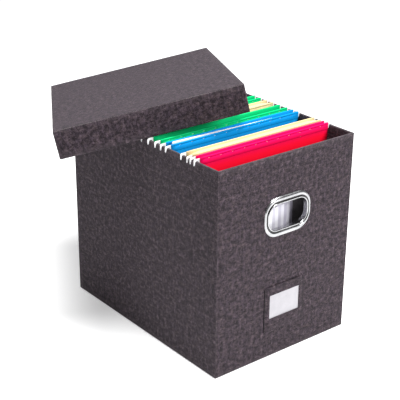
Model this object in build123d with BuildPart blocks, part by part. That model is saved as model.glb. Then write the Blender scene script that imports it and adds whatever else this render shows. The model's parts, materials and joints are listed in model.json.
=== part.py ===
from build123d import *

import os

# A linen-covered file box with a lift-off lid, two grommet handles and hanging folders.
# Millimetres, +Z up. The origin is the middle of the box's underside, and the front, with
# the label pocket, faces -Y. Letter-size folders set the width: their hanger bars are
# 318 long and hook over the two side walls.

# Box
box_width = 310
box_depth = 431
box_height = 385
board = 3
linen = 1
wall = board + 2 * linen
corner_radius = 3
hem = 24
floor_z = linen + board + linen
inner_width = box_width - 2 * wall

# Lid, a shallow tray that lies askew and tipped on the box's back half
lid_width = 336
lid_depth = 447
lid_height = 51
lid_board = 2.5
lid_linen = 0.75
lid_hem = 16
lid_centre = (-39.8, 164.6, 415.5)
lid_turn = -30.585
lid_pitch = -7.09
lid_roll = -12.159

# Handles: a metal flange outside, with a tube through the wall to a ring inside
handle_z = 272
handle_width = 106
handle_height = 75
handle_radius = 30
opening_width = 88
opening_height = 47
opening_radius = 19
flange = 2.2
flange_round = 1.5
lip_width = 2.6
lip_rise = 1.2
lip_round = 0.9
groove_width = 1.6
groove_depth = 1.0
tube_wall = 1.2
tube_gap = 0.3
backing = 1.5
backing_margin = 7
backing_gap = 0.1

# Label pocket and card
pocket_width = 94
pocket_height = 90
pocket_z = 51
pocket_thickness = 2.2
pocket_corner = 2
channel_depth = 1.2
channel_margin = 8
channel_floor = 14
window_width = 70
window_height = 46
window_z = 78
card_width = 77
card_height = 62
card_thickness = 0.5
card_gap = 0.35
card_foot_gap = 0.2

# Hanging folders
folder_width = 293
folder_drop = 235
sheet = 0.6
sleeve_thickness = 2.4
sleeve_height = 13.1
sleeve_top = box_height + 5.3
bar_length = 318
bar_thickness = 0.8
bar_top = box_height + 4.5
hook_bottom = box_height - 7
notch_top = box_height + 0.3
notch_inner = inner_width / 2 - 0.6
notch_outer = box_width / 2 + 1
hook_radius = 1.4
file_width = 290
file_thickness = 4
file_top = box_height + 4
file_gap = 0.3
paper_width = 279
paper_top = box_height + 8
paper_thickness = 2.6
papers_alone_thickness = 3
papers_gap = 0.1

# Distances of each folder's two hanger bars from the box's front face, front to back,
# and half the width of its bottom fold
folders = [
    (58.5, 69, 1.4),
    (77.5, 94, 3.2),
    (136, 150, 2.8),
    (166, 186, 1.4),
    (205, 222, 3.2),
    (240, 257, 1.4),
    (290, 306, 1.4),
    (338, 354, 1.4),
]
folders_with_file = [2, 5]
folder_with_papers = 3

# Loose sheets standing behind the front wall, fanned so that each edge shows
slip_count = 8
slip_width = 125
slip_height = 278
slip_thickness = 0.6
slip_left = -147
slip_shift = 9
slip_start = 14
slip_pitch = 2.4

# Dark card that stands behind the loose sheets
divider_width = 294
divider_height = 335
divider_thickness = 0.6
divider_y = 31.9

box_plane = Plane.XY
lid_place = (
    Location(lid_centre)
    * Location((0, 0, 0), (0, 0, lid_turn))
    * Location((0, 0, 0), (lid_pitch, 0, 0))
    * Location((0, 0, 0), (0, lid_roll, 0))
    * Location((0, 0, 0), (180, 0, 0))
)
lid_plane = Plane(lid_place)

os.makedirs("parts", exist_ok=True)


def save(part, name):
    part.label = name
    export_step(part, f"parts/{name}.step")


def front_plane(y, side=-1):
    """An upright plane at y and the handle's height, whose normal leaves the front or back wall."""
    return Plane(origin=(0, y, handle_z), x_dir=(-side, 0, 0), z_dir=(0, side, 0))


def handle_bore():
    """The space that both handles' tubes take, from outside the front to outside the back."""
    grow = 2 * (tube_wall + tube_gap)
    with BuildPart() as part:
        with BuildSketch(front_plane(0)):
            RectangleRounded(
                opening_width + grow, opening_height + grow, opening_radius + grow / 2
            )
        extrude(amount=box_depth, both=True)
    return part.part


# Covered trays. The box and the lid are built alike: each is drawn from its closed end,
# with its opening towards the plane's normal.


def end_sheet(plane, name, width, depth, radius, cloth):
    with BuildPart() as part:
        with BuildSketch(plane):
            RectangleRounded(width, depth, radius)
        extrude(amount=cloth)
    save(part.part, name)


def end_board(plane, name, width, depth, cloth, core):
    with BuildPart() as part:
        with BuildSketch(plane.offset(cloth)):
            Rectangle(width - 2 * (cloth + core), depth - 2 * (cloth + core))
        extrude(amount=core)
    save(part.part, name)


def end_wall_board(plane, name, side, size, cloth, core, radius, holes):
    """A wall board across the width, with its outer upright edges rounded."""
    width, depth, height = size
    with BuildPart() as part:
        with BuildSketch(plane.offset(cloth)):
            RectangleRounded(width - 2 * cloth, depth - 2 * cloth, radius)
            with Locations((0, side * (depth / 2 - cloth - core / 2))):
                Rectangle(width - 2 * cloth, core, mode=Mode.INTERSECT)
        extrude(amount=height - 2 * cloth)
        if holes:
            add(handle_bore(), mode=Mode.SUBTRACT)
    save(part.part, name)


def side_wall_board(plane, name, side, size, cloth, core):
    width, depth, height = size
    with BuildPart() as part:
        with BuildSketch(plane.offset(cloth)):
            with Locations((side * (width / 2 - cloth - core / 2), 0)):
                Rectangle(core, depth - 2 * (cloth + core))
        extrude(amount=height - 2 * cloth)
    save(part.part, name)


def cover(plane, name, size, cloth, core, radius, turn, start, holes):
    """The outer cloth: round the four walls, over the rim and down inside as a hem."""
    width, depth, height = size
    inside = 2 * (cloth + core)
    with BuildPart() as part:
        with BuildSketch(plane.offset(start)):
            RectangleRounded(width, depth, radius)
        extrude(amount=height - start)
        with BuildSketch(plane.offset(cloth)):
            RectangleRounded(width - 2 * cloth, depth - 2 * cloth, radius - cloth)
        extrude(amount=height - 2 * cloth, mode=Mode.SUBTRACT)
        with BuildSketch(plane.offset(height - turn)):
            Rectangle(width - inside, depth - inside)
        extrude(amount=turn)
        with BuildSketch(plane.offset(height - turn)):
            Rectangle(width - inside - 2 * cloth, depth - inside - 2 * cloth)
        extrude(amount=turn, mode=Mode.SUBTRACT)
        if holes:
            add(handle_bore(), mode=Mode.SUBTRACT)
    save(part.part, name)


def wall_lining(plane, name, size, cloth, core, turn, holes):
    width, depth, height = size
    inside = 2 * (cloth + core)
    start = cloth + core
    with BuildPart() as part:
        with BuildSketch(plane.offset(start)):
            Rectangle(width - inside, depth - inside)
            Rectangle(
                width - inside - 2 * cloth, depth - inside - 2 * cloth, mode=Mode.SUBTRACT
            )
        extrude(amount=height - turn - start)
        if holes:
            add(handle_bore(), mode=Mode.SUBTRACT)
    save(part.part, name)


def end_lining(plane, name, size, cloth, core):
    width, depth, _ = size
    margin = 2 * (2 * cloth + core)
    with BuildPart() as part:
        with BuildSketch(plane.offset(cloth + core)):
            Rectangle(width - margin, depth - margin)
        extrude(amount=cloth)
    save(part.part, name)


def box_shell():
    size = (box_width, box_depth, box_height)
    radius = corner_radius - linen
    end_sheet(box_plane, "base_sheet", box_width, box_depth, corner_radius, linen)
    end_board(box_plane, "bottom_board", box_width, box_depth, linen, board)
    end_wall_board(box_plane, "front_board", -1, size, linen, board, radius, True)
    end_wall_board(box_plane, "back_board", 1, size, linen, board, radius, True)
    side_wall_board(box_plane, "left_board", -1, size, linen, board)
    side_wall_board(box_plane, "right_board", 1, size, linen, board)
    cover(box_plane, "outer_cover", size, linen, board, corner_radius, hem, linen, True)
    wall_lining(box_plane, "wall_lining", size, linen, board, hem, True)
    end_lining(box_plane, "bottom_lining", size, linen, board)


def lid_shell():
    """The lid's plane points down into the lid, so its front wall is at the plane's +Y."""
    size = (lid_width, lid_depth, lid_height)
    radius = corner_radius - lid_linen
    cloth, core = lid_linen, lid_board
    end_board(lid_plane, "lid_top_board", lid_width, lid_depth, cloth, core)
    end_wall_board(lid_plane, "lid_front_board", 1, size, cloth, core, radius, False)
    end_wall_board(lid_plane, "lid_back_board", -1, size, cloth, core, radius, False)
    side_wall_board(lid_plane, "lid_left_board", -1, size, cloth, core)
    side_wall_board(lid_plane, "lid_right_board", 1, size, cloth, core)
    cover(lid_plane, "lid_cover", size, cloth, core, corner_radius, lid_hem, 0, False)
    wall_lining(lid_plane, "lid_wall_lining", size, cloth, core, lid_hem, False)
    end_lining(lid_plane, "lid_top_lining", size, cloth, core)


def handle(side, name):
    """A flange with a raised inner lip and a groove round it, and the tube through the wall."""
    outside = front_plane(side * box_depth / 2, side)
    lip = 2 * lip_width
    groove = lip + 2 * groove_width
    tube = 2 * tube_wall
    with BuildPart() as part:
        with BuildSketch(outside):
            RectangleRounded(handle_width, handle_height, handle_radius)
        extrude(amount=flange)
        fillet(part.faces().sort_by(Axis.Y)[0 if side < 0 else -1].edges(), flange_round)
        with BuildSketch(outside.offset(flange - groove_depth)):
            RectangleRounded(
                opening_width + groove, opening_height + groove, opening_radius + groove / 2
            )
        extrude(amount=groove_depth, mode=Mode.SUBTRACT)
        with BuildSketch(outside):
            RectangleRounded(
                opening_width + lip, opening_height + lip, opening_radius + lip_width
            )
        extrude(amount=flange + lip_rise)
        fillet(part.faces().sort_by(Axis.Y)[0 if side < 0 else -1].edges(), lip_round)
        with BuildSketch(outside):
            RectangleRounded(
                opening_width + tube, opening_height + tube, opening_radius + tube_wall
            )
        extrude(amount=-(wall + backing))
        with BuildSketch(outside.offset(flange + lip_rise)):
            RectangleRounded(opening_width, opening_height, opening_radius)
        extrude(amount=-2 * (wall + backing + flange), mode=Mode.SUBTRACT)
    save(part.part, name)


def handle_backing(side, name):
    """The flat ring that holds the tube on the inside of the wall."""
    inside = front_plane(side * (box_depth / 2 - wall), -side)
    grow = 2 * (tube_wall + backing_gap)
    with BuildPart() as part:
        with BuildSketch(inside):
            RectangleRounded(
                handle_width - backing_margin,
                handle_height - backing_margin,
                handle_radius - backing_margin / 2,
            )
            RectangleRounded(
                opening_width + grow,
                opening_height + grow,
                opening_radius + grow / 2,
                mode=Mode.SUBTRACT,
            )
        extrude(amount=backing)
    save(part.part, name)


def label_pocket():
    """A patch sewn to the front, with a window and a channel for the card, open at the top."""
    face = Plane(origin=(0, -box_depth / 2, 0), x_dir=(1, 0, 0), z_dir=(0, -1, 0))
    channel_z = pocket_z + channel_floor
    channel_height = pocket_height - channel_floor
    with BuildPart() as part:
        with BuildSketch(face):
            with Locations((0, pocket_z + pocket_height / 2)):
                RectangleRounded(pocket_width, pocket_height, pocket_corner)
        extrude(amount=pocket_thickness)
        with BuildSketch(face):
            with Locations((0, channel_z + channel_height / 2)):
                Rectangle(pocket_width - 2 * channel_margin, channel_height)
        extrude(amount=channel_depth, mode=Mode.SUBTRACT)
        with BuildSketch(face):
            with Locations((0, window_z + window_height / 2)):
                Rectangle(window_width, window_height)
        extrude(amount=pocket_thickness, mode=Mode.SUBTRACT)
    save(part.part, "label_pocket")


def label_card():
    face = Plane(origin=(0, -box_depth / 2 - card_gap, 0), x_dir=(1, 0, 0), z_dir=(0, -1, 0))
    bottom = pocket_z + channel_floor + card_foot_gap
    with BuildPart() as part:
        with BuildSketch(face):
            with Locations((0, bottom + card_height / 2)):
                Rectangle(card_width, card_height)
        extrude(amount=card_thickness)
    save(part.part, "label_card")


def folder_leaf(name, bar_y, middle_y, foot):
    """One leaf: a sleeve round its hanger bar, then down to its half of the bottom fold."""
    side = 1 if bar_y > middle_y else -1
    half = sheet / 2
    sleeve_bottom = sleeve_top - sleeve_height
    bottom = sleeve_top - folder_drop
    foot_y = middle_y + side * foot
    with BuildPart() as part:
        with BuildSketch(Plane.YZ):
            with BuildLine():
                Polyline(
                    (bar_y - side * half, sleeve_bottom + half),
                    (bar_y + side * half, sleeve_bottom + half),
                    (foot_y + side * half, bottom),
                    (middle_y, bottom),
                    (middle_y, bottom + sheet),
                    (foot_y - side * half, bottom + sheet),
                    close=True,
                )
            make_face()
            with Locations((bar_y, sleeve_top - sleeve_height / 2)):
                Rectangle(sleeve_thickness, sleeve_height)
                Rectangle(
                    sleeve_thickness - 2 * sheet, sleeve_height - 2 * sheet, mode=Mode.SUBTRACT
                )
        extrude(amount=folder_width / 2, both=True)
    save(part.part, name)


def hanger_bars(name, bar_ys):
    """Two flat bars whose ends are notched to sit on the side walls and hook down outside."""
    height = bar_top - hook_bottom
    notch_width = notch_outer - notch_inner
    notch_height = notch_top - hook_bottom
    with BuildPart() as part:
        for y in bar_ys:
            with BuildSketch(Plane.XZ.offset(-y - bar_thickness / 2)):
                with Locations((0, hook_bottom + height / 2)):
                    RectangleRounded(bar_length, height, hook_radius)
                for side in (-1, 1):
                    x = side * (notch_inner + notch_width / 2)
                    with Locations((x, hook_bottom + notch_height / 2)):
                        Rectangle(notch_width, notch_height, mode=Mode.SUBTRACT)
            extrude(amount=bar_thickness)
    save(part.part, name)


def upright_block(name, width, thickness, y, bottom, top):
    with BuildPart() as part:
        with BuildSketch(Plane.XY.offset(bottom)):
            with Locations((0, y)):
                Rectangle(width, thickness)
        extrude(amount=top - bottom)
    save(part.part, name)


def file_cover(name, y, bottom):
    """A card file: two leaves and a fold, round the papers."""
    with BuildPart() as part:
        with BuildSketch(Plane.YZ):
            with Locations((y, (bottom + file_top) / 2)):
                Rectangle(file_thickness, file_top - bottom)
            with Locations((y, (bottom + sheet + file_top) / 2)):
                Rectangle(
                    file_thickness - 2 * sheet, file_top - bottom - sheet, mode=Mode.SUBTRACT
                )
        extrude(amount=file_width / 2, both=True)
    save(part.part, name)


def hanging_folder(number, front_distance, rear_distance, foot):
    name = f"folder_{number}"
    front_y = front_distance - box_depth / 2
    rear_y = rear_distance - box_depth / 2
    middle_y = (front_y + rear_y) / 2
    inside_z = sleeve_top - folder_drop + sheet + file_gap
    folder_leaf(f"{name}_front_leaf", front_y, middle_y, foot)
    folder_leaf(f"{name}_rear_leaf", rear_y, middle_y, foot)
    hanger_bars(f"{name}_bars", (front_y, rear_y))
    if number in folders_with_file:
        file_cover(f"{name}_file", middle_y, inside_z)
        papers_z = inside_z + sheet + papers_gap
        upright_block(
            f"{name}_papers", paper_width, paper_thickness, middle_y, papers_z, paper_top
        )
    if number == folder_with_papers:
        upright_block(
            f"{name}_papers", paper_width, papers_alone_thickness, middle_y, inside_z, paper_top
        )


def loose_papers():
    with BuildPart() as part:
        for index in range(slip_count):
            x = slip_left + slip_width / 2 + index * slip_shift
            y = slip_start + index * slip_pitch - box_depth / 2
            with BuildSketch(Plane.XY.offset(floor_z)):
                with Locations((x, y)):
                    Rectangle(slip_width, slip_thickness)
            extrude(amount=slip_height)
    save(part.part, "loose_papers")


def divider():
    upright_block(
        "divider",
        divider_width,
        divider_thickness,
        divider_y - box_depth / 2,
        floor_z,
        floor_z + divider_height,
    )


box_shell()
handle(-1, "front_handle")
handle_backing(-1, "front_handle_backing")
handle(1, "back_handle")
handle_backing(1, "back_handle_backing")
label_pocket()
label_card()
loose_papers()
divider()
for count, (front_distance, rear_distance, foot) in enumerate(folders, start=1):
    hanging_folder(count, front_distance, rear_distance, foot)
lid_shell()
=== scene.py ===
import json
import math
import random

import bmesh
import bpy
from mathutils import Matrix, Vector, noise


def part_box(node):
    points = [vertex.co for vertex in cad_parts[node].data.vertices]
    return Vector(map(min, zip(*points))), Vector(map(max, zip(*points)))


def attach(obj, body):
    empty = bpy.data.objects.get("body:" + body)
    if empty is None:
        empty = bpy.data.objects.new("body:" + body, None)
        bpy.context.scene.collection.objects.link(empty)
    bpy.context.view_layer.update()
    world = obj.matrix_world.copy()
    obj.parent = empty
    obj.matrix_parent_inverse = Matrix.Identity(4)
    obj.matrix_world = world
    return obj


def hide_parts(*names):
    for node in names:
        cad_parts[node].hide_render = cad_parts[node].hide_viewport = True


# The looks of a linen-covered file box with an askew lid, two metal grommet handles, a sewn
# label pocket and hanging folders. Metres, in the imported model's frame: +Z up, front at -Y.

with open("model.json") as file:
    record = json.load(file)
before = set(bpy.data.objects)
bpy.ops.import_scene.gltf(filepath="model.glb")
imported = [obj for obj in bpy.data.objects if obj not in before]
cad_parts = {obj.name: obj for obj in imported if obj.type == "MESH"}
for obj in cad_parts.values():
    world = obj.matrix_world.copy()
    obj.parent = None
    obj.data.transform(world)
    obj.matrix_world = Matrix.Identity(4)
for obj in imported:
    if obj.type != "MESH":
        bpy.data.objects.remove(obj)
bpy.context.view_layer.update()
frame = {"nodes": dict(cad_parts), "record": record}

MM = 0.001

# Box and lid, as trays that are open at one end
board = 3 * MM
linen = 1 * MM
wall = board + 2 * linen
corner_radius = 3 * MM
hem = 24 * MM
lid_size = (336 * MM, 447 * MM, 51 * MM)
lid_linen = 0.75 * MM
lid_wall = 4 * MM
lid_hem = 16 * MM
lid_centre = (-39.8 * MM, 164.6 * MM, 415.5 * MM)
lid_turn = math.radians(-30.585)
lid_pitch = math.radians(-7.09)
lid_roll = math.radians(-12.159)
cloth_cell = 12 * MM
cloth_ripple = 0.35 * MM

# Linen: the distance between threads, and how many thick stretches they have in a metre
weave_pitch = 0.9 * MM
slub_scale = 0.155 / weave_pitch

# Handles
opening = (88 * MM, 47 * MM, 19 * MM)
flange_outline = (106 * MM, 75 * MM, 30 * MM)
tube_wall = 1.2 * MM
tube_end = wall + 2.1 * MM

# Label pocket
pocket_window = (70 * MM, 46 * MM, 1.5 * MM)
window_middle = 101 * MM
pocket_cloth = 1 * MM
channel_depth = 1.15 * MM
stitch_inset = 3.6 * MM
stitch_length = 2.6 * MM
stitch_step = 3.8 * MM
stitch_radius = 0.32 * MM

# Folders
sheet = 0.6 * MM
sleeve_half = 0.9 * MM
sleeve_drop = 13.1 * MM
slot_count = 11
slot_width = 4.5 * MM
slot_top = 3.75 * MM
slot_bottom = 4.4 * MM
bar_thickness = 0.8 * MM
hook_width = 3.4 * MM
hook_round = 3.2 * MM
# Heights between which the folders' card is painted lighter, or pinker for red, towards the top
folder_painted_light_low = 293 * MM
folder_painted_light_high = 391 * MM
red_painted_light_low = 363 * MM


# Mesh helpers


def rounded_loop(size, steps=6):
    """Points round a rectangle (width, height, corner radius), anticlockwise from the right."""
    width, height, radius = size
    points = []
    for corner in range(4):
        centre_x = (width / 2 - radius) * (1 if corner in (0, 3) else -1)
        centre_y = (height / 2 - radius) * (1 if corner in (0, 1) else -1)
        for step in range(steps + 1):
            angle = math.pi / 2 * (corner + step / steps)
            points.append((
                centre_x + radius * math.cos(angle),
                centre_y + radius * math.sin(angle),
            ))
    return points


def grown(size, by):
    return (size[0] + 2 * by, size[1] + 2 * by, max(size[2] + by, 0.4 * MM))


def outside(point, size):
    """How far a point is outside a rounded rectangle centred on zero, less than 0 inside."""
    width, height, corner = size
    across = abs(point[0]) - width / 2 + corner
    up = abs(point[1]) - height / 2 + corner
    return math.hypot(max(across, 0), max(up, 0)) + min(max(across, up), 0) - corner


def loft(bm, loops, closed=False):
    """Joins loops of equally many points with quads; closed also joins the last to the first."""
    rings = [[bm.verts.new(point) for point in loop] for loop in loops]
    pairs = list(zip(rings, rings[1:]))
    if closed:
        pairs.append((rings[-1], rings[0]))
    for one, other in pairs:
        for i in range(len(one)):
            j = (i + 1) % len(one)
            bm.faces.new((one[i], one[j], other[j], other[i]))
    return rings


def grid(bm, rows, wanted=lambda row, column: True):
    """Joins rows of equally many points with quads, where wanted says so."""
    verts = [[bm.verts.new(point) for point in row] for row in rows]
    for i in range(len(verts) - 1):
        for j in range(len(verts[i]) - 1):
            if wanted(i, j):
                bm.faces.new(
                    (verts[i][j], verts[i][j + 1], verts[i + 1][j + 1], verts[i + 1][j])
                )


def bisect(bm, low, high, cell, axes=(0, 1, 2)):
    """Cuts every face along evenly spaced planes, about one cell apart."""
    for axis in axes:
        count = round((high[axis] - low[axis]) / cell)
        normal = Vector([1 if axis == i else 0 for i in range(3)])
        for i in range(1, count):
            place = normal * (low[axis] + (high[axis] - low[axis]) * i / count)
            geometry = bm.verts[:] + bm.edges[:] + bm.faces[:]
            bmesh.ops.bisect_plane(bm, geom=geometry, plane_co=place, plane_no=normal, dist=1e-7)


def finished(bm, name, facing=None):
    """The bmesh as a smooth mesh whose faces point outwards, or along facing for an open one."""
    bmesh.ops.recalc_face_normals(bm, faces=bm.faces)
    if facing is not None:
        total = sum((face.normal * face.calc_area() for face in bm.faces), Vector())
        if total.dot(Vector(facing)) < 0:
            bmesh.ops.reverse_faces(bm, faces=bm.faces)
    mesh = bpy.data.meshes.new(name)
    bm.to_mesh(mesh)
    bm.free()
    return mesh


def smooth(mesh, degrees=35):
    mesh.polygons.foreach_set("use_smooth", [True] * len(mesh.polygons))
    mesh.set_sharp_from_angle(angle=math.radians(degrees))


def marks(mesh, name, amount):
    """Stores a value from 0 to 1 at each point, for a material: amount gives it from the place."""
    layer = mesh.attributes.new(name, "FLOAT", "POINT")
    for vertex in mesh.vertices:
        layer.data[vertex.index].value = amount(vertex.co)


def weave_map(mesh):
    """Lays the cloth's threads flat on each face, in metres along the mesh's own axes."""
    layer = mesh.uv_layers.new(name="weave")
    for polygon in mesh.polygons:
        size = [abs(value) for value in polygon.normal]
        across = size.index(max(size))
        first, second = [axis for axis in range(3) if axis != across]
        for loop in polygon.loop_indices:
            place = mesh.vertices[mesh.loops[loop].vertex_index].co
            layer.data[loop].uv = (place[first], place[second])


def piece(name, mesh, material, body, replaced=(), place=None):
    """Shows a mesh as a piece that rides on a body, in the place of CAD nodes."""
    item = bpy.data.objects.new(name, mesh)
    bpy.context.collection.objects.link(item)
    mesh.materials.append(material)
    if place is not None:
        item.matrix_world = place
    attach(item, body)
    if replaced:
        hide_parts(*replaced)
    return item


def bevelled(item, width, segments=2):
    modifier = item.modifiers.new("soft edges", "BEVEL")
    modifier.width = width
    modifier.segments = segments
    modifier.limit_method = "ANGLE"
    modifier.angle_limit = math.radians(40)


# Materials


class Paint:
    """A Principled material and short ways to add nodes to it."""

    def __init__(self, name, roughness, metallic=0.0, specular=0.5):
        self.material = bpy.data.materials.new(name)
        self.material.use_nodes = True
        self.nodes = self.material.node_tree.nodes
        self.links = self.material.node_tree.links
        self.shader = self.nodes["Principled BSDF"]
        self.shader.inputs["Roughness"].default_value = roughness
        self.shader.inputs["Metallic"].default_value = metallic
        self.shader.inputs["Specular IOR Level"].default_value = specular

    def set(self, socket, value):
        if isinstance(value, bpy.types.NodeSocket):
            self.links.new(value, socket)
        else:
            socket.default_value = value

    def place(self):
        return self.nodes.new("ShaderNodeTexCoord").outputs["Object"]

    def threads(self):
        node = self.nodes.new("ShaderNodeUVMap")
        node.uv_map = "weave"
        return node.outputs["UV"]

    def attribute(self, name):
        node = self.nodes.new("ShaderNodeAttribute")
        node.attribute_name = name
        return node.outputs["Fac"]

    def stretch(self, vector, scale):
        node = self.nodes.new("ShaderNodeVectorMath")
        node.operation = "MULTIPLY"
        self.set(node.inputs[0], vector)
        node.inputs[1].default_value = scale
        return node.outputs["Vector"]

    def noise(self, vector, scale, detail=2.0, roughness=0.5):
        node = self.nodes.new("ShaderNodeTexNoise")
        self.set(node.inputs["Vector"], vector)
        node.inputs["Scale"].default_value = scale
        node.inputs["Detail"].default_value = detail
        node.inputs["Roughness"].default_value = roughness
        return node.outputs["Fac"]

    def math(self, operation, first, second=0.0, third=0.0):
        node = self.nodes.new("ShaderNodeMath")
        node.operation = operation
        for socket, value in zip(node.inputs, (first, second, third)):
            self.set(socket, value)
        return node.outputs["Value"]

    def ramp(self, value, *stops):
        """Colours by value, from (position, colour) stops."""
        node = self.nodes.new("ShaderNodeValToRGB")
        self.set(node.inputs["Fac"], value)
        elements = node.color_ramp.elements
        while len(elements) < len(stops):
            elements.new(0.5)
        for element, (position, colour) in zip(elements, stops):
            element.position = position
            element.color = (*colour, 1)
        return node.outputs["Color"]

    def mix(self, factor, first, second, blend="MIX"):
        node = self.nodes.new("ShaderNodeMix")
        node.data_type = "RGBA"
        node.blend_type = blend
        self.set(node.inputs[0], factor)
        self.set(node.inputs[6], first)
        self.set(node.inputs[7], second)
        return node.outputs[2]

    def split(self, vector):
        node = self.nodes.new("ShaderNodeSeparateXYZ")
        self.set(node.inputs[0], vector)
        return node.outputs

    def colour(self, value):
        self.set(self.shader.inputs["Base Color"], value)

    def rough(self, value, low, high):
        node = self.nodes.new("ShaderNodeMapRange")
        self.set(node.inputs["Value"], value)
        node.inputs["To Min"].default_value = low
        node.inputs["To Max"].default_value = high
        self.links.new(node.outputs["Result"], self.shader.inputs["Roughness"])

    def bump(self, height, depth, strength=1.0):
        node = self.nodes.new("ShaderNodeBump")
        node.inputs["Distance"].default_value = depth
        node.inputs["Strength"].default_value = strength
        self.set(node.inputs["Height"], height)
        self.links.new(node.outputs["Normal"], self.shader.inputs["Normal"])

    def sheen(self, weight, roughness, tint):
        self.shader.inputs["Sheen Weight"].default_value = weight
        self.shader.inputs["Sheen Roughness"].default_value = roughness
        self.shader.inputs["Sheen Tint"].default_value = (*tint, 1)


def linen_material():
    """A plain weave of mottled threads, each with thicker and lighter stretches."""
    paint = Paint("linen", roughness=0.88, specular=0.2)
    across, along, _ = paint.split(paint.threads())
    over = paint.math("SINE", paint.math("MULTIPLY", across, math.pi / weave_pitch))
    under = paint.math("SINE", paint.math("MULTIPLY", along, math.pi / weave_pitch))
    checker = paint.math("MULTIPLY", over, under)
    warp_up = paint.math("GREATER_THAN", checker, 0.0)
    warp = paint.noise(paint.stretch(paint.threads(), (1.0, 0.5, 0)), slub_scale, 4.0, 0.85)
    weft = paint.noise(paint.stretch(paint.threads(), (0.5, 1.0, 7)), slub_scale, 4.0, 0.85)
    plum = paint.ramp(
        warp,
        (0.38, (0.005, 0.003, 0.006)),
        (0.5, (0.021, 0.015, 0.023)),
        (0.63, (0.096, 0.069, 0.094)),
    )
    brown = paint.ramp(
        weft,
        (0.38, (0.006, 0.004, 0.004)),
        (0.5, (0.023, 0.016, 0.018)),
        (0.63, (0.1, 0.073, 0.077)),
    )
    threads = paint.mix(warp_up, brown, plum)
    cloud = paint.noise(paint.threads(), 60, 3.0)
    shade = paint.ramp(cloud, (0.3, (0.86, 0.84, 0.88)), (0.7, (1.12, 1.1, 1.08)))
    clouded = paint.mix(1.0, threads, shade, "MULTIPLY")
    # Lighter thread on the edges and rim: partly wear, partly a painted highlight along them.
    wear = paint.math("MULTIPLY", paint.attribute("wear"), weft)
    rubbed_and_highlit = paint.mix(wear, clouded, (0.2, 0.175, 0.185, 1))
    # Painted shade: a near-black line along the pocket's turned-under sides, in place of their
    # shadow.
    paint.colour(paint.mix(paint.attribute("seam_shadow"), rubbed_and_highlit, (0.003, 0.002, 0.003, 1)))
    relief = paint.math("ABSOLUTE", checker)
    slubs = paint.math("ADD", warp, weft)
    paint.bump(paint.math("ADD", relief, slubs), 0.06 * MM, 0.7)
    paint.sheen(0.1, 0.5, (0.9, 0.86, 0.92))
    return paint.material


def lining_material():
    """Smooth charcoal paper with a faint fibre."""
    paint = Paint("lining", roughness=0.85, specular=0.25)
    fibre = paint.noise(paint.stretch(paint.place(), (1, 1, 0.3)), 900, 3.0)
    paint.colour(paint.ramp(fibre, (0.3, (0.06, 0.055, 0.062)), (0.7, (0.1, 0.092, 0.1))))
    paint.bump(fibre, 0.05 * MM)
    return paint.material


def greyboard_material():
    """Pulp board with darker flecks."""
    paint = Paint("greyboard", roughness=0.92, specular=0.2)
    fleck = paint.noise(paint.place(), 1400, 4.0, 0.7)
    paint.colour(paint.ramp(fleck, (0.3, (0.19, 0.18, 0.165)), (0.7, (0.36, 0.345, 0.32))))
    paint.bump(fleck, 0.08 * MM)
    return paint.material


def chrome_material():
    """Polished plate with faint swirls, uneven polish and painted shade in the groove."""
    paint = Paint("chrome", roughness=0.12, metallic=1.0)
    swirl = paint.noise(paint.place(), 55, 4.0, 0.6)
    plate = paint.ramp(swirl, (0.3, (0.3, 0.3, 0.31)), (0.7, (0.5, 0.5, 0.51)))
    # Painted shade: near-black at the bottom of the groove.
    paint.colour(paint.mix(paint.attribute("groove_shade"), plate, (0.06, 0.06, 0.06, 1)))
    paint.rough(swirl, 0.14, 0.32)
    scratch = paint.noise(paint.stretch(paint.place(), (1, 1, 0.08)), 1500, 2.0)
    paint.bump(scratch, 0.01 * MM, 0.3)
    return paint.material


def card_material(name, lower, upper, bottom=folder_painted_light_low):
    """Coloured card with fine fibres, its colour changing from bottom to the folders' top as
    painted light.
    """
    paint = Paint(name, roughness=0.7, specular=0.15)
    height = paint.split(paint.place())[2]
    # Painted light: the card turns paler, or pinker for red, towards the top.
    fade = paint.nodes.new("ShaderNodeMapRange")
    fade.interpolation_type = "SMOOTHSTEP"
    paint.set(fade.inputs["Value"], height)
    fade.inputs["From Min"].default_value = bottom
    fade.inputs["From Max"].default_value = folder_painted_light_high
    fibre = paint.noise(paint.stretch(paint.place(), (0.35, 1, 1)), 1100, 3.0, 0.6)
    mottle = paint.noise(paint.place(), 45, 2.0)
    plain = paint.mix(fade.outputs["Result"], (*lower, 1), (*upper, 1))
    darker = paint.mix(0.1, plain, (0.0, 0.0, 0.0, 1))
    paint.colour(paint.mix(paint.math("MULTIPLY", fibre, mottle), plain, darker))
    paint.rough(mottle, 0.6, 0.8)
    paint.bump(fibre, 0.03 * MM, 0.6)
    return paint.material


def paper_material(name, colour, shadow):
    """White paper with a faint tooth, with painted shade making a sheet greyer where it is marked
    for it.
    """
    paint = Paint(name, roughness=0.75, specular=0.3)
    tooth = paint.noise(paint.place(), 1800, 3.0)
    mottle = paint.noise(paint.place(), 70, 2.0)
    mixed = paint.math("MULTIPLY_ADD", tooth, 0.5, paint.math("MULTIPLY", mottle, 0.5))
    plain = paint.ramp(mixed, (0.3, shadow), (0.6, colour))
    # Painted shade: greyish lavender where a sheet is marked for it.
    paint.colour(paint.mix(paint.attribute("tint"), plain, (0.36, 0.34, 0.42, 1)))
    paint.bump(tooth, 0.02 * MM, 0.5)
    return paint.material


def coated_steel_material():
    """White baked enamel with a slight orange peel."""
    paint = Paint("white_enamel", roughness=0.35)
    peel = paint.noise(paint.place(), 700, 2.0)
    wear = paint.noise(paint.place(), 160, 3.0)
    paint.colour(paint.ramp(wear, (0.3, (0.8, 0.81, 0.82)), (0.6, (0.9, 0.9, 0.91))))
    paint.bump(peel, 0.02 * MM, 0.5)
    return paint.material


# Box and lid


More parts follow.
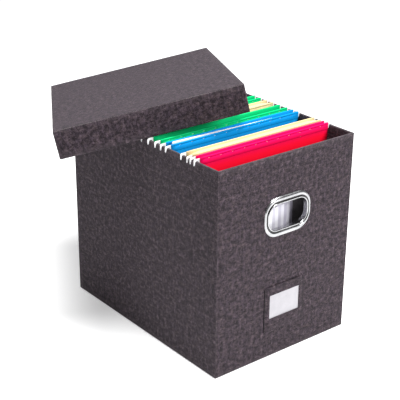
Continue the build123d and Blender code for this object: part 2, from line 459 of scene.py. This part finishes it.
def tray_profile(height, wall, cloth, bend, rim_bend, turn):
    """The cover's section as (inset, height) from the closed end's edge, outside and back."""
    arc = [math.pi / 2 * step / 3 for step in range(4)]
    foot = [(bend * (1 - math.sin(t)), bend * (1 - math.cos(t))) for t in arc]
    outer_rim = [
        (rim_bend * (1 - math.cos(t)), height - rim_bend * (1 - math.sin(t))) for t in arc
    ]
    inner_rim = [
        (wall - rim_bend * (1 - math.sin(t)), height - rim_bend * (1 - math.cos(t)))
        for t in arc
    ]
    hem_end = [(wall, height - turn), (wall - cloth, height - turn)]
    back = [(wall - cloth, height - cloth), (cloth, height - cloth), (cloth, cloth)]
    return foot + outer_rim + inner_rim + hem_end + back


def handle_cutter(depth, centre_z):
    """The prism that both handles' tubes pass through."""
    bm = bmesh.new()
    outline = rounded_loop(grown(opening, tube_wall + 0.3 * MM), 10)
    loops = [[(x, y, centre_z + z) for x, z in outline] for y in (-depth, depth)]
    rings = loft(bm, loops)
    for ring in rings:
        bm.faces.new(ring)
    return finished(bm, "handle_cutter")


def cut(mesh, cutter):
    """The mesh less the cutter."""
    body = bpy.data.objects.new("cut_body", mesh)
    tool = bpy.data.objects.new("cut_tool", cutter)
    for item in (body, tool):
        bpy.context.collection.objects.link(item)
    modifier = body.modifiers.new("cut", "BOOLEAN")
    modifier.operation = "DIFFERENCE"
    modifier.solver = "EXACT"
    modifier.object = tool
    graph = bpy.context.evaluated_depsgraph_get()
    result = bpy.data.meshes.new_from_object(body.evaluated_get(graph))
    for item in (body, tool):
        bpy.data.objects.remove(item)
    return result


def tray_cover(name, size, wall, cloth, turn, flat_end, cutter=None):
    """Cloth round a tray, drawn with its closed end at z = 0 and its opening upwards."""
    width, depth, height = size
    bm = bmesh.new()
    loops = []
    for inset, z in tray_profile(height, wall, cloth, 2.4 * MM, 1.7 * MM, turn):
        outline = rounded_loop(grown((width, depth, corner_radius), -inset))
        loops.append([(x, y, z) for x, y in outline])
    rings = loft(bm, loops)
    bm.faces.new(rings[0])
    bm.faces.new(rings[-1])
    bisect(bm, (-width / 2, -depth / 2, 0), (width / 2, depth / 2, height), cloth_cell)
    mesh = finished(bm, name)
    if cutter is not None:
        mesh = cut(mesh, cutter)
    for vertex in mesh.vertices:
        place = vertex.co
        on_wall = max(abs(place.x) - width / 2, abs(place.y) - depth / 2) > -0.5 * cloth
        on_end = place.z < 0.5 * cloth and not flat_end
        if on_wall or on_end:
            ripple = 0.6 * noise.noise(place * 14) + 0.4 * noise.noise(place * 45)
            fade = min(1, max(0, place.z - 2 * MM) / (10 * MM)) if flat_end else 1
            vertex.co = place - vertex.normal * cloth_ripple * (0.5 + ripple) * fade

    def edge_wear_and_highlight(place):
        """Most on the rounded outer edges and less on the rim: rubbed cloth, with a painted
        highlight along them.
        """
        gaps = [width / 2 - abs(place.x), depth / 2 - abs(place.y), abs(place.z)]
        if place.z > height - wall:
            return 0.3 if place.z > height - 0.8 * MM else 0.15
        close = sorted(gaps)[:2]
        return 0.6 * max(0, 1 - (close[0] + close[1]) / (3 * MM))

    marks(mesh, "wear", edge_wear_and_highlight)
    weave_map(mesh)
    smooth(mesh)
    return mesh


def box_cover(material, centre_z):
    low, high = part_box("base_sheet")[0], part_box("outer_cover")[1]
    size = (high[0] - low[0], high[1] - low[1], high[2] - low[2])
    cutter = handle_cutter(size[1], centre_z)
    mesh = tray_cover("outer_cover", size, wall, linen, hem, True, cutter)
    piece("cover", mesh, material, "box", ("outer_cover", "base_sheet"))


def lid_cover(material):
    place = (
        Matrix.Translation(lid_centre)
        @ Matrix.Rotation(lid_turn, 4, "Z")
        @ Matrix.Rotation(lid_pitch, 4, "X")
        @ Matrix.Rotation(lid_roll, 4, "Y")
        @ Matrix.Rotation(math.pi, 4, "X")
    )
    mesh = tray_cover("lid_cover", lid_size, lid_wall, lid_linen, lid_hem, False)
    piece("lid_cloth", mesh, material, "lid", ("lid_cover",), place)


# Handles


def handle(name, side, node, material):
    """A grommet: tube, raised lip, groove and domed flange, round the opening."""
    low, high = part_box(node)
    centre_z = (low[2] + high[2]) / 2
    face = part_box("base_sheet")[0 if side < 0 else 1][1]
    groove_edge = 5.2 * MM
    section = [
        (0.0, -tube_end), (0.0, 0.0), (0.0, 2.2), (0.15, 2.9), (0.6, 3.3), (1.3, 3.45),
        (2.0, 3.3), (2.5, 2.9), (2.65, 2.2), (2.75, 1.6), (3.0, 1.25), (4.2, 1.15),
        (4.7, 1.3), (5.0, 1.8),
    ]
    loops = []
    for out, height in section:
        height = height * MM if height > 0 else height
        loops.append((rounded_loop(grown(opening, out * MM), 12), height))
    inner = rounded_loop(grown(opening, groove_edge), 12)
    outer = rounded_loop(flange_outline, 12)
    flange = [
        (0.0, 2.1), (0.08, 2.6), (0.25, 3.0), (0.45, 2.95), (0.65, 2.5), (0.82, 1.8),
        (0.94, 1.05), (1.0, 0.3), (0.985, 0.02),
    ]
    for part, height in flange:
        loop = [
            (a[0] + (b[0] - a[0]) * part, a[1] + (b[1] - a[1]) * part)
            for a, b in zip(inner, outer)
        ]
        loops.append((loop, height * MM))
    tube = rounded_loop(grown(opening, tube_wall), 12)
    loops.append((tube, 0.02 * MM))
    loops.append((tube, -tube_end))
    bm = bmesh.new()
    loft(
        bm,
        [[(x, face + side * out, centre_z + z) for x, z in loop] for loop, out in loops],
        closed=True,
    )
    mesh = finished(bm, name)
    middle = (low[0] + high[0]) / 2

    def in_groove(place):
        """Painted shade: 1 at the bottom of the groove between lip and flange, 0 on the polished
        parts.
        """
        out = outside((place.x - middle, place.z - centre_z), opening)
        height = abs(place.y - face)
        if not 2.2 * MM < out < groove_edge + 0.4 * MM:
            return 0
        return min(1, max(0, (3.0 * MM - height) / (1.4 * MM)))

    marks(mesh, "groove_shade", in_groove)
    smooth(mesh, 50)
    item = piece(name, mesh, material, "box", (node,))
    rounder = item.modifiers.new("rounder", "SUBSURF")
    rounder.levels = 1
    rounder.render_levels = 1


# Label pocket and card


def pocket_lift(x, z, low, high):
    """How far the pocket's cloth stands off the wall: sewn down on three sides, open on top."""
    edge = min(x - low[0], high[0] - x, z - low[2])
    part = min(1, max(0, (edge - 4.5 * MM) / (5 * MM)))
    return 0.05 * MM + channel_depth * part * part * (3 - 2 * part)


def label_pocket(material):
    low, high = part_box("label_pocket")
    face = high[1]
    middle = ((low[0] + high[0]) / 2, (low[2] + high[2]) / 2)
    outline = rounded_loop((high[0] - low[0], high[2] - low[2], 2.5 * MM), 4)
    window = rounded_loop(pocket_window, 4)
    bm = bmesh.new()
    loft(bm, [
        [(middle[0] + x, face, middle[1] + z) for x, z in outline],
        [(middle[0] + x, face, window_middle + z) for x, z in window],
    ])
    bisect(bm, low, high, 3 * MM, (0, 2))
    for vertex in bm.verts:
        vertex.co.y = face - pocket_lift(vertex.co.x, vertex.co.z, low, high)
    mesh = finished(bm, "label_pocket", facing=(0, -1, 0))

    def painted_seam_shadow(place):
        """Painted shade: darker where the cloth turns under at the two sides, in place of their
        shadow line.
        """
        edge = min(place.x - low[0], high[0] - place.x)
        return 0.95 if edge < 0.1 * MM else 0

    marks(mesh, "seam_shadow", painted_seam_shadow)
    smooth(mesh, 50)
    weave_map(mesh)
    item = piece("pocket", mesh, material, "box", ("label_pocket",))
    thick = item.modifiers.new("cloth", "SOLIDIFY")
    thick.thickness = pocket_cloth
    thick.offset = 1
    bevelled(item, 0.3 * MM)


def stitch_places(low, high):
    """Middle and direction of each stitch, down the left side, along the bottom and up."""
    left, right = low[0] + stitch_inset, high[0] - stitch_inset
    bottom, top = low[2] + stitch_inset, high[2] - stitch_inset
    tall = int((top - bottom) / stitch_step)
    wide = int((right - left) / stitch_step)
    for i in range(tall):
        for x in (left, right):
            yield x, top - (i + 0.5) * (top - bottom) / tall, False
    for i in range(wide):
        yield left + (i + 0.5) * (right - left) / wide, bottom, True


def pocket_stitches(material):
    low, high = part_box("label_pocket")
    bm = bmesh.new()
    for x, z, flat in stitch_places(low, high):
        size = (stitch_length / 2, stitch_radius, stitch_radius)
        if not flat:
            size = (stitch_radius, stitch_radius, stitch_length / 2)
        place = Matrix.Translation((x, high[1] - pocket_cloth - 0.1 * MM, z))
        bmesh.ops.create_icosphere(
            bm, subdivisions=2, radius=1, matrix=place @ Matrix.Diagonal((*size, 1))
        )
    mesh = finished(bm, "pocket_stitches")
    smooth(mesh, 80)
    weave_map(mesh)
    piece("pocket_stitches", mesh, material, "box", ())


def label_card(material):
    low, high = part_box("label_card")
    size = (high[0] - low[0], high[2] - low[2], 1.4 * MM)
    edge = 0.12 * MM
    bm = bmesh.new()
    levels = [(-edge, high[1]), (0, high[1] - edge), (0, low[1] + edge), (-edge, low[1])]
    loops = []
    for by, y in levels:
        outline = rounded_loop(grown(size, by), 5)
        centre = (low[2] + high[2]) / 2
        loops.append([(x, y, centre + z) for x, z in outline])
    rings = loft(bm, loops)
    bm.faces.new(rings[0])
    bm.faces.new(rings[-1])
    mesh = finished(bm, "card")
    smooth(mesh)
    piece("card", mesh, material, "label_card", ("label_card",))


# Hanging folders


def leaf_line(bar, middle, foot, side, top, bottom):
    """One leaf seen from the side, as (y, z, share of the sideways wave), flap first."""
    outer = bar + side * sleeve_half
    inner = bar - side * sleeve_half
    line = [
        (bar + side * 0.62 * MM, top - sleeve_drop, 0),
        (bar + side * 0.7 * MM, top - sleeve_drop + 1.2 * MM, 0),
        (outer, top - sleeve_drop + 2.6 * MM, 0),
        (outer, top - slot_bottom, 0),
        (outer, top - slot_top, 0),
    ]
    peak = top - sheet / 2 - sleeve_half
    for step in range(7):
        angle = math.pi * step / 6
        line.append((
            bar + side * sleeve_half * math.cos(angle),
            peak + sleeve_half * math.sin(angle),
            0,
        ))
    line += [
        (inner, top - sleeve_drop + 2.6 * MM, 0),
        (bar - side * 0.2 * MM, top - sleeve_drop + 0.8 * MM, 0),
        (bar, top - sleeve_drop - 0.6 * MM, 0),
    ]
    foot_y = middle + side * foot
    start_z = top - sleeve_drop - 0.6 * MM
    for step in range(1, 12):
        part = step / 12
        line.append((
            bar + (foot_y - bar) * part,
            start_z + (bottom + 2 * MM - start_z) * part,
            math.sin(math.pi * part),
        ))
    line.append((foot_y, bottom + 2 * MM, 0))
    line.append((foot_y - side * 0.4 * MM, bottom + 0.6 * MM, 0))
    line.append((middle + side * foot * 0.5, bottom + 0.35 * MM, 0))
    return line


def folder_columns(low, high):
    """Places across the folder, with an edge at each end of each slot."""
    spacing = (high - low) / (slot_count + 0.5)
    columns = [low]
    slots = []
    for i in range(slot_count):
        centre = (low + high) / 2 + (i - (slot_count - 1) / 2) * spacing
        slots.append(len(columns))
        columns += [centre - slot_width / 2, centre + slot_width / 2]
    columns.append(high)
    return columns, slots


def folder_leaves(number, foot, wave, material):
    """One folded sheet of card: two sleeves over the bars and a V between them."""
    name = f"folder_{number}"
    front_low, front_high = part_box(f"{name}_front_leaf")
    rear_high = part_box(f"{name}_rear_leaf")[1]
    bars_low, bars_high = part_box(f"{name}_bars")
    front_bar = bars_low[1] + bar_thickness / 2
    rear_bar = bars_high[1] - bar_thickness / 2
    middle = (front_bar + rear_bar) / 2
    top, bottom = rear_high[2], front_low[2]
    front = leaf_line(front_bar, middle, foot, -1, top, bottom)
    rear = leaf_line(rear_bar, middle, foot, 1, top, bottom)
    line = front + [(middle, bottom + 0.35 * MM, 0)] + rear[::-1]
    columns, slots = folder_columns(front_low[0], front_high[0])
    width = front_high[0] - front_low[0]
    slot_row = 3
    slot_rows = (slot_row, len(line) - 2 - slot_row)
    rows = []
    for index, (y, z, share) in enumerate(line):
        side = -1 if index < len(front) else 1
        row = []
        for x in columns:
            bend = math.sin(math.pi * (x / width + 0.5) * 1.3 + number)
            rough = noise.noise(Vector((x * 9, z * 9, number * 3.1 + side)))
            row.append((x, y + side * share * wave * (0.6 * bend + 0.4 * rough), z))
        rows.append(row)
    bm = bmesh.new()
    grid(bm, rows, lambda row, column: row not in slot_rows or column not in slots)
    mesh = finished(bm, f"{name}_leaves")
    smooth(mesh, 40)
    replaced = (f"{name}_front_leaf", f"{name}_rear_leaf")
    item = piece(f"{name}_leaves", mesh, material, name, replaced)
    thick = item.modifiers.new("card", "SOLIDIFY")
    thick.thickness = sheet * 0.9
    thick.offset = 0
    return item


def bar_outline(low, high):
    """A bar's face, round its right half and then its left: strip, notch and hook."""
    right = high[0]
    top, tip = high[2], low[2]
    notch_top = top - 4.2 * MM
    inner = right - hook_width - 6.2 * MM
    half = [
        (inner - 14 * MM, tip + 1.2 * MM),
        (inner - 1.2 * MM, tip + 1.2 * MM),
        (inner - 0.3 * MM, tip + 1.7 * MM),
        (inner, tip + 2.8 * MM),
        (inner + 0.1 * MM, notch_top - 1.2 * MM),
        (inner + 1.0 * MM, notch_top),
        (right - hook_width - 1.0 * MM, notch_top),
        (right - hook_width, notch_top - 1.0 * MM),
    ]
    half += [
        (right - hook_width + 0.7 * MM, tip + 1.6 * MM),
        (right - hook_width + 1.1 * MM, tip + 0.4 * MM),
        (right - hook_width + 1.9 * MM, tip),
        (right - 0.5 * MM, tip + 0.5 * MM),
        (right - 0.1 * MM, tip + 1.6 * MM),
    ]
    for step in range(6):
        angle = math.pi / 2 * step / 5
        half.append((
            right - hook_round + hook_round * math.cos(angle),
            top - hook_round + hook_round * math.sin(angle),
        ))
    return half + [(-x, z) for x, z in reversed(half)]


def hanger_bars(number, material):
    name = f"folder_{number}"
    low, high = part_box(f"{name}_bars")
    outline = bar_outline(low, high)
    bm = bmesh.new()
    for front in (low[1], high[1] - bar_thickness):
        rings = loft(bm, [[(x, y, z) for x, z in outline] for y in (front, front + bar_thickness)])
        for ring in rings:
            bm.faces.new(ring)
    mesh = finished(bm, f"{name}_hangers")
    smooth(mesh, 30)
    item = piece(f"{name}_hangers", mesh, material, name, (f"{name}_bars",))
    bevelled(item, 0.2 * MM)


def paper_slab(bm, centre, size, tilt, curve):
    """One sheet or a few: a thin upright slab, tilted in its own plane and slightly curved."""
    width, thickness, height = size
    columns = 13
    loops = []
    for column in range(columns):
        part = column / (columns - 1) * 2 - 1
        x = part * width / 2
        bow = curve * (1 - part * part)
        loop = []
        for y, z in ((-0.5, 0), (-0.5, 1), (0.5, 1), (0.5, 0)):
            drop = x * math.sin(tilt) if z else 0
            loop.append((
                centre[0] + x,
                centre[1] + y * thickness + bow * z,
                centre[2] + z * height - drop,
            ))
        loops.append(loop)
    rings = loft(bm, loops)
    bm.faces.new(rings[0])
    bm.faces.new(rings[-1])


def papers(node, body, count, tilt, sunk, material, seed):
    """A stack of sheets with uneven tops, no higher than the CAD block that it stands for."""
    low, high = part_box(node)
    draw = random.Random(seed)
    width = high[0] - low[0]
    pitch = (high[1] - low[1]) / count
    bm = bmesh.new()
    for i in range(count):
        lean = tilt + math.radians(draw.uniform(-0.25, 0.25))
        drop = sunk + draw.uniform(0, 2 * MM) + abs(math.sin(lean)) * width / 2
        centre = (
            (low[0] + high[0]) / 2 + draw.uniform(-1.5, 1.5) * MM,
            low[1] + (i + 0.5) * pitch,
            low[2],
        )
        size = (width - 3 * MM, pitch * 0.8, high[2] - low[2] - drop)
        paper_slab(bm, centre, size, lean, draw.uniform(-0.3, 0.3) * MM)
    mesh = finished(bm, f"{node}_sheets")
    smooth(mesh, 30)
    return piece(f"{node}_sheets", mesh, material, body, (node,))


def file_cover(number, material):
    """A manila file: a card folded once, with softened top corners."""
    node = f"folder_{number}_file"
    low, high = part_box(node)
    half = (high[1] - low[1] - sheet) / 2
    middle = (low[1] + high[1]) / 2
    bottom = low[2] + sheet / 2
    turn = [math.pi * (1 + step / 8) for step in range(9)]
    line = [(middle - half, high[2] - part * (high[2] - bottom - half)) for part in (0, 0.3, 0.6)]
    line += [
        (middle + half * math.cos(t), bottom + half + half * math.sin(t)) for t in turn
    ]
    line += [
        (middle + half, high[2] - part * (high[2] - bottom - half)) for part in (0.6, 0.3, 0)
    ]
    width = high[0] - low[0]
    rows = []
    for y, z in line:
        row = []
        for column in range(15):
            part = column / 14 * 2 - 1
            x = (low[0] + high[0]) / 2 + part * width / 2
            lowered = 3 * MM if abs(part) > 0.99 and z > high[2] - 1 * MM else 0
            row.append((x, y, z - lowered))
        rows.append(row)
    bm = bmesh.new()
    grid(bm, rows)
    mesh = finished(bm, f"{node}_card")
    smooth(mesh, 40)
    name = f"folder_{number}"
    item = piece(f"{node}_card", mesh, material, name, (node,))
    thick = item.modifiers.new("card", "SOLIDIFY")
    thick.thickness = sheet * 0.9
    thick.offset = 0


def loose_papers(material):
    """Sheets fanned behind the front wall, so that every edge shows through the handle."""
    low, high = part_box("loose_papers")
    count = 8
    shift = 9 * MM
    pitch = 2.4 * MM
    width = high[0] - low[0] - (count - 1) * shift
    draw = random.Random(5)
    bm = bmesh.new()
    for i in range(count):
        centre = (low[0] + width / 2 + i * shift, low[1] + 0.3 * MM + i * pitch, low[2])
        height = high[2] - low[2] - draw.uniform(0, 5) * MM
        size = (width, 0.4 * MM, height)
        paper_slab(bm, centre, size, 0, draw.uniform(0, 0.4) * MM)
    # Painted shade: sheets further back, and every other sheet, greyer, for the shading seen
    # through the handle.
    painted_sheet_shades = [0.3 + 0.35 * (i % 2) + 0.35 * i / (count - 1) for i in range(count)]
    mesh = finished(bm, "loose_sheets")
    marks(mesh, "tint", lambda place: painted_sheet_shades[int((place.y - low[1]) / pitch)])
    smooth(mesh, 30)
    piece("loose_sheets", mesh, material, "box", ("loose_papers",))


# Stage


def camera():
    azimuth = math.radians(-38.74)
    elevation = math.radians(23.16)
    roll = math.radians(0.48)
    aim = Vector((0.0334, 0.0653, 0.193))
    distance = 2.088
    back = Vector((
        math.sin(azimuth) * math.cos(elevation),
        -math.cos(azimuth) * math.cos(elevation),
        math.sin(elevation),
    ))
    right = (-back).cross(Vector((0, 0, 1))).normalized()
    up = right.cross(-back)
    x_axis = right * math.cos(roll) + up * math.sin(roll)
    y_axis = -right * math.sin(roll) + up * math.cos(roll)
    data = bpy.data.cameras.new("camera")
    data.sensor_width = 36
    data.lens = 96.57
    item = bpy.data.objects.new("camera", data)
    turn = Matrix((x_axis, y_axis, back)).transposed().to_4x4()
    item.matrix_world = Matrix.Translation(aim + back * distance) @ turn
    bpy.context.collection.objects.link(item)
    bpy.context.scene.camera = item


def floor():
    paint = Paint("floor", roughness=0.9, specular=0.1)
    grain = paint.noise(paint.place(), 3, 2.0)
    paint.colour(paint.ramp(grain, (0.3, (0.93, 0.93, 0.93)), (0.7, (0.95, 0.95, 0.95))))
    paint.shader.inputs["Emission Color"].default_value = (1, 1, 1, 1)
    paint.shader.inputs["Emission Strength"].default_value = 0.4
    bm = bmesh.new()
    bmesh.ops.create_circle(bm, cap_ends=True, segments=96, radius=8)
    mesh = finished(bm, "floor", facing=(0, 0, 1))
    item = bpy.data.objects.new("floor", mesh)
    mesh.materials.append(paint.material)
    bpy.context.collection.objects.link(item)


def soft_light(name, place, target, size, power):
    data = bpy.data.lights.new(name, "AREA")
    data.shape = "DISK"
    data.size = size
    data.energy = power
    item = bpy.data.objects.new(name, data)
    item.location = place
    item.rotation_mode = "QUATERNION"
    item.rotation_quaternion = (Vector(target) - Vector(place)).to_track_quat("-Z", "Y")
    bpy.context.collection.objects.link(item)


def lights():
    world = bpy.data.worlds.new("studio")
    bpy.context.scene.world = world
    world.use_nodes = True
    background = world.node_tree.nodes["Background"]
    background.inputs["Color"].default_value = (0.98, 0.98, 1.0, 1)
    background.inputs["Strength"].default_value = 0.16
    soft_light("key", (0.9, -2.4, 1.8), (0, 0, 0.2), 1.1, 82)
    soft_light("top", (-0.1, -0.1, 3.0), (0, 0.1, 0.3), 1.6, 140)
    bpy.context.scene.view_settings.view_transform = "Standard"


def finish_cad_nodes(finishes):
    """Gives the boards, linings and handle backings the finish of their slot in the record."""
    for part in frame["record"]["subparts"]:
        if part["material_slot"] in finishes:
            materials = frame["nodes"][part["node"]].data.materials
            materials.clear()
            materials.append(finishes[part["material_slot"]])


camera()
lights()
floor()

charcoal = linen_material()
lining = lining_material()
greyboard = greyboard_material()
chrome = chrome_material()
card_white = paper_material("card_white", (0.44, 0.43, 0.455), (0.38, 0.37, 0.395))
paper_white = paper_material("paper_white", (0.92, 0.92, 0.94), (0.82, 0.82, 0.86))
white_enamel = coated_steel_material()
folder_cards = {
    "folder_red": card_material(
        "folder_red", (1.0, 0.0, 0.025), (1.0, 0.0, 0.13), red_painted_light_low
    ),
    "folder_manila": card_material("folder_manila", (0.7, 0.52, 0.27), (0.74, 0.59, 0.32)),
    "folder_blue": card_material("folder_blue", (0.0, 0.27, 0.7), (0.0, 0.3, 0.76)),
    "folder_green": card_material("folder_green", (0.0, 0.56, 0.17), (0.0, 0.62, 0.2)),
}
finishes = {
    "linen_charcoal": charcoal,
    # Painted shade: the lining's dark finish also covers a divider behind the loose sheets, put
    # there for the darkness seen through the handle.
    "lining_charcoal": lining,
    "greyboard": greyboard,
    "chrome": chrome,
}

handle_low, handle_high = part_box("front_handle")
box_cover(charcoal, (handle_low[2] + handle_high[2]) / 2)
lid_cover(charcoal)
handle("front_grommet", -1, "front_handle", chrome)
handle("back_grommet", 1, "back_handle", chrome)
label_pocket(charcoal)
pocket_stitches(charcoal)
label_card(card_white)
loose_papers(paper_white)

# Each folder's colour, half the width of its bottom fold, and how far its leaves bow out
folders = (
    ("folder_red", 1.4 * MM, 1.0 * MM),
    ("folder_manila", 3.2 * MM, 0.6 * MM),
    ("folder_blue", 2.8 * MM, 0.8 * MM),
    ("folder_green", 1.4 * MM, 1.2 * MM),
    ("folder_manila", 3.2 * MM, 0.6 * MM),
    ("folder_green", 1.4 * MM, 1.2 * MM),
    ("folder_blue", 1.4 * MM, 1.2 * MM),
    ("folder_red", 1.4 * MM, 1.2 * MM),
)
for number, (colour, foot, wave) in enumerate(folders, start=1):
    folder_leaves(number, foot, wave, folder_cards[colour])
    hanger_bars(number, white_enamel)
for number in (2, 5):
    file_cover(number, folder_cards["folder_manila"])
    papers(f"folder_{number}_papers", f"folder_{number}", 6, 0.0, 6 * MM, paper_white, number)
papers("folder_3_papers", "folder_3", 7, math.radians(1.2), 2 * MM, paper_white, 3)
finish_cad_nodes(finishes)
